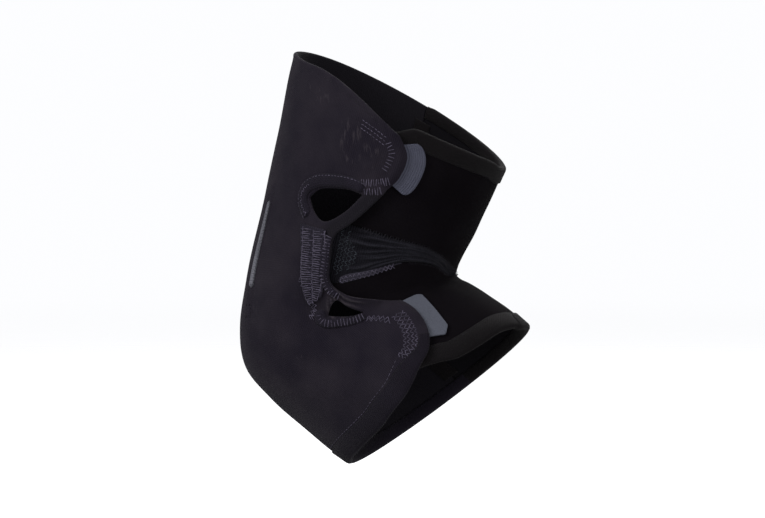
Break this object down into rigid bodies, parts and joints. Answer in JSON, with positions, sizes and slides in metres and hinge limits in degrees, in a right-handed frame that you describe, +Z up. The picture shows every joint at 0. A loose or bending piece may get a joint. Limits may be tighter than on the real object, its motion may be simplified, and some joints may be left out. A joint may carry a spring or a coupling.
{
  "type": "elbow brace",
  "caption": "Soft elbow brace in its bent, worn form: a shell wraps the arm and closes with hook tabs over front panels and a gathered crook gusset, with eye-shaped side windows.",
  "frame": {"origin": "centre of the elbow joint of the arm that wears the brace, on the arm's centreline", "axes": "+Z up along the upper arm, +X to the front of the arm (the crook side), -Y to the outer side of the arm with the windows and tabs"},
  "size_m": [0.1534, 0.106, 0.215],
  "materials": {
    "shell_knit": "matt laminated knit, charcoal",
    "front_knit": "smooth matt knit, near black",
    "stretch_knit": "thin gathered stretch knit",
    "stitched_pad": "pad covered by zigzag stitching",
    "hook_tab": "grey hook tape",
    "binding": "stitched binding tape",
    "shell_hem": "turned and stitched hem",
    "front_hem": "turned and stitched hem",
    "piping": "light grey woven piping"
  },
  "bodies": {
    "root": {"outer_shell": "shell_knit", "upper_front_panel": "front_knit", "lower_front_panel": "front_knit", "crook_gusset": "stretch_knit", "strap_pad": "stitched_pad", "upper_hook_tab": "hook_tab", "lower_hook_tab": "hook_tab", "upper_window_binding": "binding", "lower_window_binding": "binding", "shell_bottom_hem": "shell_hem", "front_top_hem": "front_hem", "front_bottom_hem": "front_hem", "stay_piping": "piping"}
  },
  "joints": []
}
